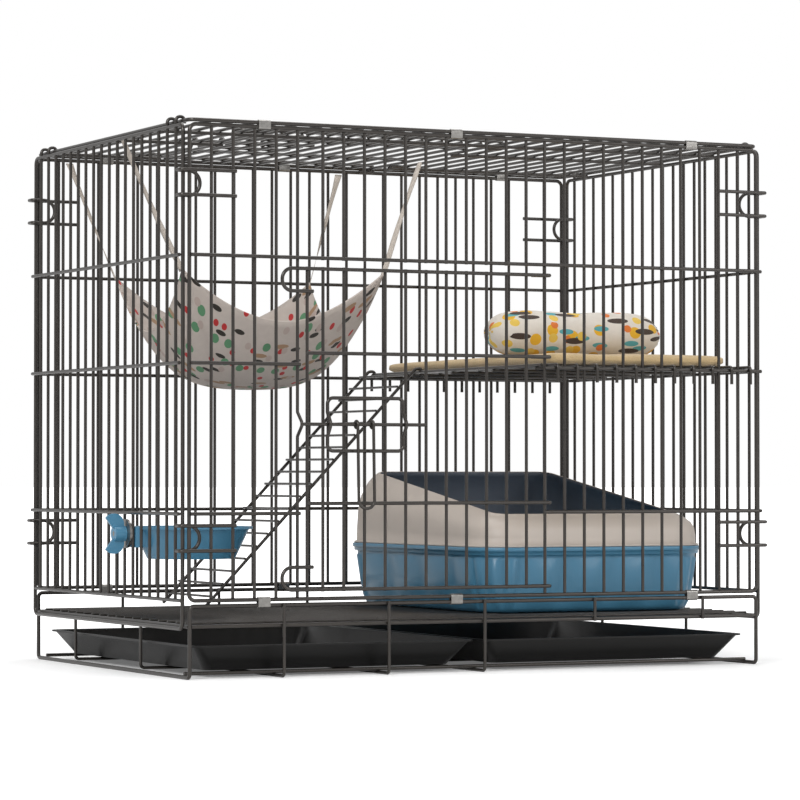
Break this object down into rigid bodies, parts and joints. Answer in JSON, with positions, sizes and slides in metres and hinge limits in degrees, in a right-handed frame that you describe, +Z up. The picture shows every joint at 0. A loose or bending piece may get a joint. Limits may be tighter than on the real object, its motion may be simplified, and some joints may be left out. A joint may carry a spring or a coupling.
{
  "type": "cat cage",
  "caption": "Folding wire cat cage on a wire stand, with drip trays, front and roof doors with bolt latches, shelf, ladder, hammock, clamp-on bowl and hooded litter box.",
  "frame": {"origin": "centre of the wire base, on the floor", "axes": "X to the right, Y to the back, Z up; the front door faces -Y"},
  "size_m": [0.7994, 0.5271, 0.6515],
  "materials": {
    "wire": "dark grey brown gloss powder coat",
    "bright": "bright galvanised steel",
    "tray": "black plastic",
    "blue": "blue plastic",
    "beige": "beige plastic",
    "tan": "tan plush",
    "print": "printed cotton"
  },
  "bodies": {
    "cage": {"front_panel": "wire", "front_corner_clasps": "wire", "back_panel": "wire", "back_corner_clasps": "wire", "left_side_panel": "wire", "right_side_panel": "wire", "roof_panel": "wire", "base_frame": "wire", "floor_grid": "wire", "roof_bands": "bright", "base_bands": "bright", "shelf": "wire", "shelf_mat": "tan", "shelf_bolster": "print", "hammock_cloth": "print", "hammock_straps": "tan", "feeder_bowl": "blue", "feeder_clamp": "bright", "left_tray": "tray", "litter_pan": "blue"},
    "front_door": {"front_door": "wire", "front_latch_guide": "wire"},
    "front_bolt": {"front_latch_bolt": "wire"},
    "front_handle": {"front_latch_handle": "wire"},
    "roof_door": {"roof_door": "wire", "roof_latch_guide": "wire"},
    "roof_bolt": {"roof_latch_bolt": "wire"},
    "roof_handle": {"roof_latch_handle": "wire"},
    "right_tray": {"right_tray": "tray"},
    "wing_nut": {"feeder_wing_nut": "blue"},
    "ladder": {"ladder": "wire"},
    "litter_hood": {"litter_hood": "beige"}
  },
  "joints": [
    {"name": "front_door_hinge", "type": "hinge", "parent": "cage", "child": "front_door", "pos_m": [0.081, -0.25, 0.2845], "axis": [0, 0, 1], "range_deg": [0, 150]},
    {"name": "front_bolt_slide", "type": "slide", "parent": "front_door", "child": "front_bolt", "axis": [1, 0, 0], "range_m": [-0.0225, 0.0075]},
    {"name": "front_handle_hinge", "type": "hinge", "parent": "front_bolt", "child": "front_handle", "pos_m": [-0.16, -0.25828, 0.29], "axis": [-1, 0, 0], "range_deg": [0, 120]},
    {"name": "roof_door_hinge", "type": "hinge", "parent": "cage", "child": "roof_door", "pos_m": [0.081, 0.0535, 0.6346], "axis": [0, 1, 0], "range_deg": [0, 150]},
    {"name": "roof_bolt_slide", "type": "slide", "parent": "roof_door", "child": "roof_bolt", "axis": [1, 0, 0], "range_m": [-0.0225, 0.0075]},
    {"name": "roof_handle_hinge", "type": "hinge", "parent": "roof_bolt", "child": "roof_handle", "pos_m": [-0.16, 0.059, 0.64288], "axis": [-1, 0, 0], "range_deg": [0, 120]},
    {"name": "right_tray_slide", "type": "slide", "parent": "cage", "child": "right_tray", "axis": [0, -1, 0], "range_m": [0, 0.45]},
    {"name": "wing_nut_turn", "type": "hinge", "parent": "cage", "child": "wing_nut", "pos_m": [-0.381, -0.07895, 0.163], "axis": [-1, 0, 0], "continuous": true},
    {"name": "ladder_swing", "type": "hinge", "parent": "cage", "child": "ladder", "pos_m": [0.085, 0.168, 0.36315], "axis": [0, 1, 0], "range_deg": [0, 15]},
    {"name": "litter_hood_lift", "type": "slide", "parent": "cage", "child": "litter_hood", "axis": [0, 0, 1], "range_m": [0, 0.08]}
  ]
}
